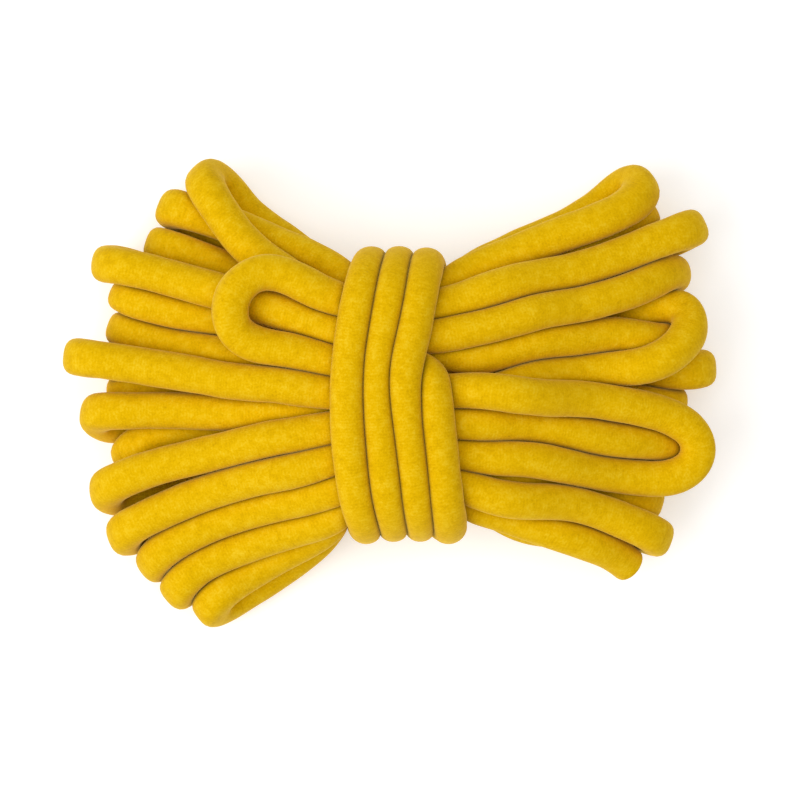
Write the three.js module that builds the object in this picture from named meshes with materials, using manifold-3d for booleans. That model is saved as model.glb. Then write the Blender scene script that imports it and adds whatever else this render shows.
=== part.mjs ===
// Hank of soft velvet cord: one cord folded back and forth between two ends and bound round its
// waist with its own tail. Units are millimetres, +X along the folds, +Z up, floor at z = 0.
import * as THREE from "three";
import Module from "manifold-3d";
import { mergeVertices } from "three/addons/utils/BufferGeometryUtils.js";

// Cord sizes.
const LOOSE_R = 2.3; // cord radius where it lies free
const WAIST_R = 1.85; // radius where the band squeezes the folds
const BAND_R = 1.7; // radius of the band turns, pulled tight
const BAND_EASE = 4; // samples over which the cord tightens into the first band turn
const GAP = 0.48; // kept between neighbouring surfaces
const JOIN_GAP = 0.36; // between one stretch of the cord and the next
const FLOOR_SINK = 0.22; // how far the soft underside is pressed flat on the floor

// Filler strand, seen in the two cut ends of the velvet sleeve.
const SOCKET_SHARE = 0.62; // socket radius as a share of the cord's radius there
const SOCKET_DEPTH = 3;
const FILLER_GAP = 0.25; // round the strand and under it
const FILLER_STAND = 0.15; // how far the strand stands out of the cut
const FILLER_SIDES = 10;

// How finely the tubes are built.
const SIDES = 8;
const RING_SPACING = 6; // between the rings of a straight run
const RING_TURN = 0.41; // most a bend turns between two rings, in radians
const BAND_RING_TURN = 0.28; // the same for the band turns, which lie closest to other runs
const RING_CHOICES = 4; // places per cord sample where a ring may stand

// The waist: folds pass through it side by side in staggered rows under the band.
const WAIST_HALF = 5; // half the length over which the passages run straight
const FREE_X = 14.5; // beyond this the cord has its loose radius again
const ROW_Z = { a: 19.6, b: 16.1, c: 12.7, d: 9.2, e: 5.8 };
const ROW_Y = { a: 11.6, b: 13.6, c: 11.6, d: 9.6, e: 7.6 };
const COLUMN_PITCH = 4;

// Settling the cord: it is held near its guide, then let go so that the last rounds only part
// the runs that press into each other.
const STEP = 2; // distance between cord samples
const ROUNDS = 1000;
const HOLDS = [ // until this share of the rounds, samples are drawn to the guide by this much
  { until: 0.45, draw: 0.07 },
  { until: 0.6, draw: 0.008 },
  { until: 1, draw: 0.001 },
];
const HEIGHT_DRAW = 0.4; // heights follow the guide less than the plan does
const SMOOTHING = 0.07; // how far a sample moves to the middle of its two neighbours
const SMOOTH_UNTIL = 0.55;
const PUSH = 1.5; // pushes on one sample are averaged, then enlarged by this
const MIN_BEND_R = 2.9; // tightest centreline bend
const NEIGHBOUR_SKIP = 5; // samples along the cord that don't count as other runs
const PAIR_MARGIN = 1.5; // further apart than this, two samples can't meet soon
const PAIR_ROUNDS = 8; // rounds between two searches for near samples

const VELVET = { color: 0xe3b414, roughness: 0.95, metalness: 0 };
const FILLER = { color: 0xe9dfc2, roughness: 0.9, metalness: 0 };

// The cord's route: stretch name, waist slot it leaves, waist slot it ends in, guide points.
const ROUTE = [
  ["start_tail", null, "b8", [
    [32.6, -22.3, 6.8], [29.6, -20.9, 8.8], [26.3, -19.6, 10.4], [21, -17.9, 12.1],
    [15.7, -16.2, 13.8], [10.6, -15, 15.6],
  ]],
  ["left_fold_14", "b8", "d6", [
    [-6.8, -15.9, 15.4], [-14.9, -18.5, 13], [-19.5, -20.2, 11.6], [-23, -21.8, 10.6],
    [-26.5, -24.2, 9.6], [-29.2, -26.8, 8], [-29.2, -27, 5], [-26.5, -25.2, 2.8], [-20, -20.5, 2.5],
    [-13, -15.5, 3], [-8, -12, 6],
  ]],
  ["right_fold_15", "d6", "c6", [
    [9, -10.2, 8.9], [13, -10.8, 7], [18, -12, 3.2], [23, -14.6, 2.4], [25.6, -16, 4.2],
    [23.4, -14.8, 6.2], [18, -12.2, 7.4], [13, -9.8, 10.4], [9, -8.7, 12.2],
  ]],
  ["left_fold_13", "c6", "a7", [
    [-9, -9.2, 9], [-16, -12.5, 3.5], [-24, -17.6, 2.6], [-30.5, -21.8, 3.5], [-33, -23.2, 6],
    [-32.6, -22.6, 9], [-29.9, -20.6, 10.8], [-26.4, -19, 11.8], [-21.3, -16.7, 13.4],
    [-14.9, -14.6, 16], [-7.9, -12.8, 18.8],
  ]],
  ["right_fold_14", "a7", "c7", [
    [9.8, -12.6, 18.7], [16, -13.9, 17], [21.1, -14.7, 15.3], [26.3, -15.9, 13.6],
    [31, -17.2, 12.2], [34.4, -18.8, 11], [36.6, -20, 8.4], [34.6, -19.6, 6], [30, -18.8, 6.6],
    [24, -17.2, 8.4], [16, -14.8, 9.9], [9.5, -12.6, 11.2],
  ]],
  ["left_fold_15", "c7", "d7", [
    [-7.5, -17.6, 11.6], [-13.2, -20.6, 10], [-19, -23.6, 9.2], [-23.2, -26.3, 9],
    [-25.2, -28, 8.6], [-25.6, -29.2, 6.2], [-23.3, -29, 3.6], [-18.3, -26.2, 3.2],
    [-13.2, -22.8, 4], [-8.5, -18.6, 6],
  ]],
  ["right_fold_10", "d7", "c5", [
    [9, -13.8, 8.2], [12.5, -12, 4.4], [17, -8.8, 2.5], [26, -5.4, 2.5], [33, -4.8, 2.7],
    [35.6, -4.8, 5.2], [33, -4, 7.6], [26, -3, 7.5], [16, -3.2, 8], [9, -4, 10.5],
  ]],
  ["left_fold_11", "c5", "a5", [
    [-9, -6.5, 9.5], [-16, -10, 5], [-24, -13.2, 3.4], [-32, -15.2, 3.6], [-37.6, -14.4, 5.4],
    [-39.2, -13.4, 8.6], [-38, -12.5, 11.6], [-35.3, -11.2, 13], [-30.2, -9.6, 14.6],
    [-25, -8.4, 16], [-18.8, -7.2, 18], [-13.7, -6.3, 19.3], [-8.6, -5.6, 19.6],
  ]],
  ["right_fold_12", "a5", "b6", [
    [7.8, -3.6, 19.4], [14.2, -3.9, 18.6], [21.1, -5, 16.6], [28, -6.1, 14.4], [33.1, -6.8, 12.2],
    [37.1, -7.6, 9.6], [39.2, -8.2, 6.2], [36.5, -8.8, 3.4], [28, -9.4, 3], [19, -8.4, 5.6],
    [11, -7, 11.5],
  ]],
  ["left_fold_10", "b6", "d5", [
    [-9, -6, 15], [-16, -4.6, 12], [-25.7, -4.5, 9.6], [-31.8, -5.6, 9], [-35.4, -7.8, 8],
    [-36.7, -8.6, 5.2], [-34.5, -8.4, 2.7], [-26, -7.4, 2.5], [-16, -6.2, 2.8], [-9.5, -6, 6.2],
  ]],
  ["right_fold_13", "d5", "b7", [
    [9.5, -7.6, 8], [16, -9, 6], [23, -10.2, 3], [31, -13.4, 2.6], [35.7, -15.4, 5],
    [33, -14.2, 7.8], [25, -11.6, 8.4], [16, -10, 11], [9.5, -10, 14.5],
  ]],
  ["left_fold_12", "b7", "a6", [
    [-9, -11, 13.5], [-15, -14, 8], [-22, -17, 3.5], [-31, -20, 3], [-35.4, -20, 4.8],
    [-36.5, -19.2, 8], [-35.4, -18.2, 10.8], [-33.4, -17.1, 12], [-26.4, -14.3, 13.8],
    [-21.3, -12.7, 15.6], [-14.9, -11.2, 17.8], [-8.3, -10, 19.3],
  ]],
  ["right_fold_11", "a6", "a4", [
    [8.7, -8.3, 19.2], [14.2, -9, 17.6], [21.1, -10, 15], [28, -11.1, 12.6], [33.7, -11.3, 11.2],
    [38, -10.9, 10.4], [41.3, -9.6, 10.4], [42.2, -7.7, 11], [40.4, -5, 12], [37.1, -3.1, 12.8],
    [33.1, -1.9, 13.8], [28, -0.9, 15], [21.1, 0, 17], [14.2, 0.7, 18.8], [7.5, 0.6, 19.6],
  ]],
  ["left_fold_07", "a4", "c4", [
    [-8.6, 0, 19.6], [-18.3, 1.2, 18.2], [-26.7, 2.4, 16.4], [-35.4, 3.8, 14.6], [-40.5, 4.6, 13.6],
    [-43.2, 4.8, 10.2], [-40, 4.6, 7], [-33, 3.6, 6], [-24, 2.6, 8], [-15, 1.2, 11],
    [-9, 0.2, 12.2],
  ]],
  ["right_fold_08", "c4", "e4", [
    [9, 0.4, 11.4], [16, 1.4, 9.4], [24, 1.6, 8.8], [31.7, 1.4, 8.8], [36, 2, 8.9], [41, 3.1, 8],
    [42.8, 3.4, 5.4], [40.2, 3.2, 2.8], [32, 2.4, 2.5], [22, 0.4, 2.5], [14, -2.4, 3.4],
    [9, -4, 5.4],
  ]],
  ["left_fold_08", "e4", "d3", [
    [-9, -4, 6.4], [-14, -3, 4.2], [-22, -1.6, 2.5], [-30, -0.6, 2.5], [-36, 0.4, 2.7],
    [-37.8, 0.7, 5.4], [-35.5, 0.6, 8], [-30, 0, 8], [-22, 0.2, 7], [-14, 1, 7], [-9, 1.4, 8.4],
  ]],
  ["right_fold_06", "d3", "b5", [
    [9, 3.4, 7.8], [16, 6.4, 6.6], [24, 9, 6.4], [31, 11, 6.6], [36, 11.8, 7.4], [39.6, 11.9, 9],
    [41.5, 10.2, 10.8], [40.4, 8, 11.8], [37.5, 6.5, 12.6], [33.1, 4.9, 13], [28, 3.7, 13.4],
    [22.9, 3.2, 13.6], [17.5, 2.6, 14], [10, 0, 15.2],
  ]],
  ["left_fold_09", "b5", "d4", [
    [-8.8, -2.8, 16.3], [-13.6, -3.1, 15.8], [-20.3, -2.9, 14.8], [-26.7, -2.5, 13.8],
    [-31.8, -2.4, 13], [-38.3, -2.6, 11.8], [-41.2, -2.7, 8.6], [-38.2, -3, 5.2], [-31, -3.4, 3.4],
    [-20, -2.6, 3], [-13, -2.6, 5], [-9, -2.6, 7.6],
  ]],
  ["right_fold_09", "d4", "b4", [
    [9, -2, 6.6], [16, -2, 3], [26, -1.6, 2.5], [34, -1, 2.6], [39, -0.8, 5], [36.5, -0.8, 7.6],
    [30, -1.2, 8], [22, -1.4, 9.4], [14, 0.6, 11.6], [9, 1.4, 14],
  ]],
  ["left_fold_06", "b4", "e2", [
    [-8.6, 1.8, 15.4], [-14, 3.6, 13.4], [-20.3, 5.1, 12], [-25.7, 6.3, 11.2], [-32.5, 7.4, 10.2],
    [-36, 8.1, 9], [-37.3, 8.4, 6], [-35, 8.3, 3], [-28, 7.6, 2.5], [-20, 6.2, 2.5],
    [-13, 4.6, 3.2], [-8.5, 3.8, 5],
  ]],
  ["right_fold_05", "e2", "c3", [
    [9, 4.4, 4.9], [15, 6, 2.9], [24, 8.6, 2.5], [32, 11.2, 2.6], [36.3, 12.2, 5], [33, 11.4, 8],
    [26, 9.6, 9], [16, 6.6, 9.8], [9, 4.4, 11.6],
  ]],
  ["left_fold_05", "c3", "b3", [
    [-8, 5.2, 10], [-14, 7.2, 6.4], [-22, 9.2, 4.2], [-31, 11, 3.6], [-35.2, 12, 4.2],
    [-36.7, 12.2, 7], [-35, 12, 9.8], [-31.1, 11, 11.2], [-23.7, 9.2, 13], [-16, 7, 14.6],
    [-8.2, 5.2, 16],
  ]],
  ["right_fold_07", "b3", "d2", [
    [6.7, 5, 16.2], [12.1, 4.8, 15.8], [17.5, 5.4, 14.8], [22.9, 6.4, 13.4], [28, 7.8, 12],
    [33.1, 9, 10.6], [36.8, 9.4, 9], [38.4, 9, 6], [36, 8.4, 3.2], [28, 6.6, 2.6], [18, 4.4, 3.6],
    [10, 5, 7],
  ]],
  ["left_fold_04", "d2", "a2", [
    [-9, 7, 6.6], [-15, 9.6, 4], [-23, 12.6, 3], [-31, 15.2, 3.2], [-37, 16.8, 5],
    [-39.4, 17.4, 8.4], [-37.5, 17.2, 12], [-31.1, 15.6, 13.2], [-23.3, 13.3, 15], [-19, 11.9, 16],
    [-13.6, 10.2, 17.8], [-7.9, 8.4, 19.4],
  ]],
  ["right_fold_04", "a2", "d1", [
    [5.3, 7, 19.6], [12.6, 8.2, 18.4], [19.5, 10.1, 16.8], [28, 12.4, 15], [33.7, 14.3, 13.4],
    [37.8, 15.8, 11.8], [39.6, 16.4, 8.6], [37.2, 15.8, 5.2], [30, 14.2, 3.8], [21, 12.6, 4],
    [12, 11, 6.4],
  ]],
  ["left_fold_02", "d1", "b1", [
    [-9, 11, 6.6], [-15, 14.6, 3.8], [-22, 18.8, 2.8], [-27.5, 22.4, 2.8], [-30.3, 24.8, 4.8],
    [-29, 25.2, 7.6], [-26, 24.2, 8.2], [-22, 22.6, 8.2], [-18.3, 21.1, 9.6], [-13.2, 18.9, 12.4],
    [-7.2, 15.6, 15.4],
  ]],
  ["right_fold_01", "b1", "c1", [
    [6.1, 14.2, 15.8], [10.9, 15.8, 15], [16, 17.8, 14], [21.1, 20, 13], [26.4, 22, 12],
    [31, 24.2, 11], [34.2, 26, 9.4], [35, 27.2, 7], [32.4, 26.6, 5], [26.4, 24, 4.4],
    [22.1, 21.8, 5], [17.6, 20, 6.4], [12.5, 17.4, 8.8], [8.7, 15, 11],
  ]],
  ["left_fold_01", "c1", "b2", [
    [-5.8, 15.2, 10.6], [-10.5, 17.6, 8.4], [-14, 20, 6.4], [-17.6, 22.4, 4.6], [-21, 25.6, 3.8],
    [-23.8, 29.2, 5], [-25.8, 29.2, 7.8], [-25.6, 27.6, 10.4], [-22.5, 23.2, 12.4], [-19, 19.2, 14],
    [-13, 15.2, 15.6], [-7.5, 12.2, 16.2],
  ]],
  ["right_fold_02", "b2", "e1", [
    [9, 10.6, 14.4], [15, 13, 11.4], [22, 17, 8.8], [29, 21, 8], [33.5, 23.6, 7.6], [35.2, 24.2, 5],
    [32.5, 22.6, 2.7], [25, 18, 2.5], [16, 12.6, 2.5], [10, 9.6, 3.6],
  ]],
  ["left_fold_03", "e1", "c2", [
    [-9, 10, 4], [-15, 13.4, 2.6], [-23, 16.8, 2.5], [-29.5, 19, 2.8], [-32.4, 19.9, 5.2],
    [-30.4, 19.7, 8], [-24.4, 17.4, 9.4], [-18, 14.6, 10], [-12, 11.4, 11],
  ]],
  ["right_fold_03", "c2", "a1", [
    [10, 10, 9.8], [17, 13, 7.2], [25, 16.6, 5], [33, 19.4, 4.4], [39, 21.6, 5.2], [41, 22.4, 8.4],
    [39.2, 21.8, 11.6], [36, 20.6, 12.4], [31, 18.5, 13.8], [24.6, 16.3, 15.4], [19.5, 14.5, 16.8],
    [12.6, 12.2, 18.6], [6, 10.8, 19.6],
  ]],
  ["short_loop", "a1", "a3", [
    [-7.1, 12.2, 20], [-10.9, 13.9, 20.2], [-13.7, 15.4, 20], [-16.9, 16.2, 20], [-20, 15, 20.4],
    [-21.7, 11.9, 21], [-21.5, 8.8, 20.2], [-19.6, 7, 19.6], [-17.1, 6.3, 19.6], [-13.7, 5.5, 19.8],
    [-8.4, 4.3, 19.8],
  ]],
  ["band_turn_1", "a3", null, [
    [4.4, 3.6, 22.2], [5.4, 0, 23.8], [5.7, -3.5, 23.9], [6.4, -8, 23.3], [7.1, -12.6, 21.8],
    [7.9, -16.6, 18.2], [8.4, -18.2, 13.5], [8, -16.5, 8.5], [7.4, -11, 4.4], [6.8, -4, 2.2],
  ]],
  ["band_turn_2", null, null, [
    [6.2, 4, 2.2], [5.6, 11, 4.6], [5.1, 15.8, 9], [4.7, 17.8, 14], [4.4, 17, 18.4],
    [3.7, 13.4, 21.6], [2.9, 9, 23], [2, 4.4, 23.6], [1.7, 0, 23.8], [1.8, -4, 23.8],
    [2.3, -8, 23.2], [3.1, -12.5, 21.4], [4, -16.4, 18], [4.3, -18.2, 13.5], [4, -16.5, 8.5],
    [3.6, -11, 4.4], [3, -4, 2.2],
  ]],
  ["band_turn_3", null, null, [
    [2.4, 4, 2.2], [1.8, 11, 4.6], [1.5, 15.8, 9], [1.2, 17.8, 14], [0.8, 17, 18.4],
    [-0.1, 13.4, 21.6], [-1.2, 9, 23], [-1.8, 4.4, 23.6], [-2, 0, 23.8], [-1.9, -4, 23.8],
    [-1.4, -8, 23.2], [-0.5, -12.5, 21.4], [0.6, -16.4, 18], [0.6, -18.2, 13.5], [0.3, -16.5, 8.5],
    [-0.1, -11, 4.4], [-0.7, -4, 2.2],
  ]],
  ["band_turn_4", null, null, [
    [-1.3, 4, 2.2], [-1.9, 11, 4.6], [-2.3, 15.8, 9], [-2.6, 17.8, 14], [-3, 17, 18.4],
    [-4.2, 13.4, 21.6], [-5.2, 9, 23], [-5.8, 4.4, 23.6], [-6, 0, 23.8], [-6, -4, 23.8],
    [-5.8, -8, 23.2], [-5, -12.5, 21.4], [-3.9, -16.4, 18], [-3.4, -18.2, 13.5], [-4.4, -16.5, 8.5],
  ]],
  ["end_tail", null, null, [
    [-6.6, -12.2, 4.6], [-9.4, -8.4, 2.6], [-11.4, -4.6, 2.4], [-10.8, -1.4, 3.8],
    [-7.4, -0.4, 5.4], [-5, -0.4, 5.8], [0, -0.4, 5.8], [7.5, -0.4, 5.8],
  ]],
];

/** Centre of a waist slot, e.g. "b3": third passage of row b. */
function slotPoint(slot, x) {
  const row = slot[0];
  const column = Number(slot.slice(1)) - 1;
  return new THREE.Vector3(x, ROW_Y[row] - COLUMN_PITCH * column, ROW_Z[row]);
}

/** The whole route as one list of points, with the stretch each point begins. */
function routePoints() {
  const points = [];
  const starts = [];
  for (const [name, from, to, guide] of ROUTE) {
    const side = Math.sign(guide[0][0]);
    if (from) {
      points.push(slotPoint(from, 0));
    }
    starts.push({ name, index: Math.max(0, points.length - 1) });
    if (from && !name.startsWith("band")) {
      points.push(slotPoint(from, side * WAIST_HALF));
    }
    for (const [x, y, z] of guide) {
      points.push(new THREE.Vector3(x, y, z));
    }
    if (to) {
      points.push(slotPoint(to, side * WAIST_HALF));
    }
  }
  return { points, starts };
}

/** Even samples along the straight-line route, and the sample where each stretch starts. */
function sampleRoute() {
  const { points, starts } = routePoints();
  const along = [0];
  for (let i = 1; i < points.length; i += 1) {
    along.push(along[i - 1] + points[i].distanceTo(points[i - 1]));
  }
  const total = along[along.length - 1];
  const count = Math.round(total / STEP);
  const samples = [];
  let leg = 0;
  for (let i = 0; i <= count; i += 1) {
    const s = (total * i) / count;
    while (leg < points.length - 2 && along[leg + 1] < s) {
      leg += 1;
    }
    const t = (s - along[leg]) / (along[leg + 1] - along[leg]);
    samples.push(points[leg].clone().lerp(points[leg + 1], t));
  }
  const stretches = starts.map(({ name, index }) => ({
    name,
    first: Math.round((along[index] / total) * count),
  }));
  return { samples, stretches };
}

/** Cord radius at each sample: squeezed in the waist, tight in the band, loose elsewhere. */
function cordRadii(samples, stretches) {
  const bandFirst = stretches.find((s) => s.name === "band_turn_1").first;
  return samples.map((p, i) => {
    if (i >= bandFirst) {
      const eased = THREE.MathUtils.smoothstep(i - bandFirst, 0, BAND_EASE);
      return THREE.MathUtils.lerp(WAIST_R, BAND_R, eased);
    }
    const eased = THREE.MathUtils.smoothstep(Math.abs(p.x), WAIST_HALF + 1, FREE_X);
    return THREE.MathUtils.lerp(WAIST_R, LOOSE_R, eased);
  });
}

/** Pairs of samples on different runs that are near enough to touch soon. */
function nearPairs(points, radii) {
  const pairs = [];
  for (let i = 0; i < points.length; i += 1) {
    for (let j = i + NEIGHBOUR_SKIP; j < points.length; j += 1) {
      const reach = radii[i] + radii[j] + GAP;
      if (points[i].distanceToSquared(points[j]) < (reach + PAIR_MARGIN) ** 2) {
        pairs.push([i, j, reach]);
      }
    }
  }
  return pairs;
}

/** Adds half of the move that brings samples i and j to the wanted distance to each of them. */
function pushApart(points, pushes, i, j, wanted, onlyIfCloser) {
  const between = points[i].clone().sub(points[j]);
  const distance = between.length();
  if (onlyIfCloser && distance >= wanted) {
    return;
  }
  between.multiplyScalar((0.5 * (wanted - distance)) / Math.max(distance, 1e-6));
  pushes[i].move.add(between);
  pushes[j].move.sub(between);
  pushes[i].count += 1;
  pushes[j].count += 1;
}

/** All pushes on each sample: apart from other runs, evenly spaced, and out of sharp bends. */
function gatherPushes(points, pairs) {
  const pushes = points.map(() => ({ move: new THREE.Vector3(), count: 0 }));
  const minChord = 2 * MIN_BEND_R * Math.sin(STEP / MIN_BEND_R);
  for (const [i, j, reach] of pairs) {
    pushApart(points, pushes, i, j, reach, true);
  }
  for (let i = 1; i < points.length; i += 1) {
    pushApart(points, pushes, i, i - 1, STEP, false);
  }
  for (let i = 2; i < points.length; i += 1) {
    pushApart(points, pushes, i, i - 2, minChord, true);
  }
  return pushes;
}

/** Draws a point towards its guide point, less in height than in plan. */
function drawToGuide(point, guide, draw) {
  point.x += draw * (guide.x - point.x);
  point.y += draw * (guide.y - point.y);
  point.z += HEIGHT_DRAW * draw * (guide.z - point.z);
}

/** Lets the cord settle: no run inside another, no sharp bend, nothing under the floor. */
function settle(samples, radii) {
  const points = samples.map((p) => p.clone());
  let pairs = [];
  for (let round = 0; round < ROUNDS; round += 1) {
    if (round % PAIR_ROUNDS === 0) {
      pairs = nearPairs(points, radii);
    }
    const done = round / ROUNDS;
    const { draw } = HOLDS.find(({ until }) => done < until);
    const pushes = gatherPushes(points, pairs);
    const before = points.map((p) => p.clone());
    points.forEach((point, i) => {
      point.addScaledVector(pushes[i].move, PUSH / Math.max(pushes[i].count, PUSH));
      drawToGuide(point, samples[i], draw);
      if (i > 0 && i < points.length - 1 && done < SMOOTH_UNTIL) {
        const middle = before[i - 1].clone().add(before[i + 1]).multiplyScalar(0.5);
        point.addScaledVector(middle.sub(before[i]), SMOOTHING);
      }
      point.z = Math.max(point.z, radii[i] - FLOOR_SINK);
    });
  }
  return points;
}

/** A curve that visits its rings in order, however far apart they are. */
class RingPath extends THREE.Curve {
  constructor(rings) {
    super();
    this.rings = rings;
  }

  getPointAt(u, target = new THREE.Vector3()) {
    return target.copy(this.rings[Math.round(u * (this.rings.length - 1))].centre);
  }

  getTangentAt(u, target = new THREE.Vector3()) {
    return target.copy(this.rings[Math.round(u * (this.rings.length - 1))].tangent);
  }
}

/** Ring centres and radii for one stretch: close together in bends, further apart in straights. */
function chooseRings(spline, radii, first, last, most) {
  const rings = [];
  const segments = radii.length - 1;
  const start = first * RING_CHOICES;
  const end = last * RING_CHOICES;
  for (let k = start; k <= end; k += 1) {
    const place = k / RING_CHOICES;
    const low = Math.min(Math.floor(place), segments - 1);
    const ring = {
      at: k,
      centre: spline.getPoint(place / segments),
      tangent: spline.getTangent(place / segments),
      radius: THREE.MathUtils.lerp(radii[low], radii[low + 1], place - low),
    };
    if (k === start || k === end || isDue(ring, rings[rings.length - 1], end, most)) {
      rings.push(ring);
    }
  }
  return rings;
}

/** Whether the next ring has to come here, judged by the turn and the length since the last. */
function isDue(ring, previous, end, most) {
  const turned = previous.tangent.angleTo(ring.tangent) > most;
  const travelled = ((ring.at - previous.at) * STEP) / RING_CHOICES >= RING_SPACING;
  return (turned || travelled) && end - ring.at > RING_CHOICES / 2;
}

/** Moves the first and last ring inwards, so that stretches don't touch where they meet. */
function openJoins(rings) {
  const start = rings[0];
  const end = rings[rings.length - 1];
  start.centre = start.centre.clone().addScaledVector(start.tangent, JOIN_GAP / 2);
  end.centre = end.centre.clone().addScaledVector(end.tangent, -JOIN_GAP / 2);
}

/** A circle of radius 1 drawn as a polygon. */
function unitCircle() {
  const circle = new THREE.Shape();
  for (let k = 0; k < SIDES; k += 1) {
    const angle = (2 * Math.PI * k) / SIDES;
    const move = k === 0 ? "moveTo" : "lineTo";
    circle[move](Math.cos(angle), Math.sin(angle));
  }
  circle.closePath();
  return circle;
}

/** A tube through the rings: a unit circle swept along them, then sized ring by ring. */
function tube(rings) {
  const swept = new THREE.ExtrudeGeometry(unitCircle(), {
    steps: rings.length - 1,
    bevelEnabled: false,
    extrudePath: new RingPath(rings),
  });
  const position = swept.getAttribute("position");
  const vertex = new THREE.Vector3();
  for (let v = 0; v < position.count; v += 1) {
    vertex.fromBufferAttribute(position, v);
    const ring = ringOf(rings, vertex);
    vertex.sub(ring.centre).multiplyScalar(ring.radius).add(ring.centre);
    position.setXYZ(v, vertex.x, vertex.y, vertex.z);
  }
  return swept;
}

/** The ring that a vertex of the unit tube belongs to: its centre is exactly 1 away. */
function ringOf(rings, vertex) {
  let best = rings[0];
  let error = Infinity;
  for (const ring of rings) {
    const off = Math.abs(ring.centre.distanceTo(vertex) - 1);
    if (off < error) {
      error = off;
      best = ring;
    }
  }
  return best;
}

/** A round rod from a point along a direction. */
function rod(from, direction, length, radius) {
  const geometry = new THREE.CylinderGeometry(radius, radius, length, FILLER_SIDES);
  const turn = new THREE.Quaternion().setFromUnitVectors(THREE.Object3D.DEFAULT_UP, direction);
  geometry.translate(0, length / 2, 0);
  geometry.applyQuaternion(turn);
  geometry.translate(from.x, from.y, from.z);
  return geometry;
}

const wasm = await Module();
wasm.setup();

/** The geometry as a manifold solid. */
function toSolid(geometry) {
  const bare = new THREE.BufferGeometry();
  bare.setAttribute("position", geometry.getAttribute("position"));
  if (geometry.index) {
    bare.setIndex(geometry.index);
  }
  const merged = mergeVertices(bare, 1e-4);
  return new wasm.Manifold(
    new wasm.Mesh({
      numProp: 3,
      vertProperties: new Float32Array(merged.getAttribute("position").array),
      triVerts: new Uint32Array(merged.index.array),
    }),
  );
}

/** A manifold solid as three.js geometry. */
function toGeometry(solid) {
  const mesh = solid.getMesh();
  const geometry = new THREE.BufferGeometry();
  geometry.setAttribute("position", new THREE.BufferAttribute(mesh.vertProperties, 3));
  geometry.setIndex(new THREE.BufferAttribute(mesh.triVerts, 1));
  geometry.computeVertexNormals();
  return geometry;
}

/** Where the sleeve is cut: the centre, the direction into the cord and the cord's radius. */
function cutEnd(rings, isStart) {
  const ring = isStart ? rings[0] : rings[rings.length - 1];
  const inward = ring.tangent.clone().multiplyScalar(isStart ? 1 : -1);
  return { centre: ring.centre, inward, radius: ring.radius };
}

/** The socket that the filler leaves in a cut end of the sleeve. */
function socket({ centre, inward, radius }) {
  const mouth = centre.clone().addScaledVector(inward, -1);
  return toSolid(rod(mouth, inward, SOCKET_DEPTH + 1, radius * SOCKET_SHARE));
}

/** The end of the filler strand, standing in its socket. */
function filler({ centre, inward, radius }) {
  const length = SOCKET_DEPTH - FILLER_GAP + FILLER_STAND;
  const tip = centre.clone().addScaledVector(inward, -FILLER_STAND);
  return toSolid(rod(tip, inward, length, radius * SOCKET_SHARE - FILLER_GAP));
}

const group = new THREE.Group();
group.name = "velvet_cord_hank";

/** Adds one solid to the hank as a named mesh with its own material. */
function addPiece(name, solid, finish) {
  const mesh = new THREE.Mesh(toGeometry(solid), new THREE.MeshStandardMaterial(finish));
  mesh.name = name;
  group.add(mesh);
}

const { samples, stretches } = sampleRoute();
const radii = cordRadii(samples, stretches);
const spline = new THREE.CatmullRomCurve3(settle(samples, radii), false, "centripetal");
stretches.forEach(({ name, first }, k) => {
  const isStart = k === 0;
  const isEnd = k === stretches.length - 1;
  const last = isEnd ? radii.length - 1 : stretches[k + 1].first;
  const most = name.startsWith("band") ? BAND_RING_TURN : RING_TURN;
  const rings = chooseRings(spline, radii, first, last, most);
  openJoins(rings);
  let solid = toSolid(tube(rings)).trimByPlane([0, 0, 1], 0);
  if (isStart || isEnd) {
    const end = cutEnd(rings, isStart);
    solid = solid.subtract(socket(end));
    addPiece(isStart ? "start_filler" : "end_filler", filler(end), FILLER);
  }
  addPiece(name, solid, VELVET);
});

// The origin is under the middle of the hank, on the floor.
const middle = new THREE.Box3().setFromObject(group).getCenter(new THREE.Vector3());
for (const mesh of group.children) {
  mesh.geometry.translate(-middle.x, -middle.y, 0);
}

export default group;
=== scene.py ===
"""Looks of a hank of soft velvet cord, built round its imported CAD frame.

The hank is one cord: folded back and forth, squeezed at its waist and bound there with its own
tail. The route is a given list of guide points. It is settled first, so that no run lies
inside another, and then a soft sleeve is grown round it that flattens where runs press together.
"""

import logging
import math
from dataclasses import dataclass, field
from enum import Enum

import bpy
import numpy as np
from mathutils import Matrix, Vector


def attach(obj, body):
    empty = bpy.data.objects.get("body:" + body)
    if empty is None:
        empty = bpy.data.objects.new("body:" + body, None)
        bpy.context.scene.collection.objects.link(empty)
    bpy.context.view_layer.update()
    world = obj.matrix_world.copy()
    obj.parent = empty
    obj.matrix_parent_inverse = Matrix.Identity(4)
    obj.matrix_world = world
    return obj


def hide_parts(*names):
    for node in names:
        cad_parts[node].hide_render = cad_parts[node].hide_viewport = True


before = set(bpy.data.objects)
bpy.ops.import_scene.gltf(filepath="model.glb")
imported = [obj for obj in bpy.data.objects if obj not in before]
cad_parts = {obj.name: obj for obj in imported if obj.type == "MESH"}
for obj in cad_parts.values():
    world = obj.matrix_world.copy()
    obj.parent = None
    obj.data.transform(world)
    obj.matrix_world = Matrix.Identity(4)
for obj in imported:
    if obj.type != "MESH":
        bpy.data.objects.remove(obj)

log = logging.getLogger("velvet_cord_hank")

MM = 0.001
SEED = 7

# A reach that stands for no limit, in millimetres, and the least cosine that counts as facing.
FAR = 99.0
FACING_LEAST = 0.03
# Rings that are compared with the whole cord in one go, which bounds the memory used.
RINGS_AT_ONCE = 300

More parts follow.
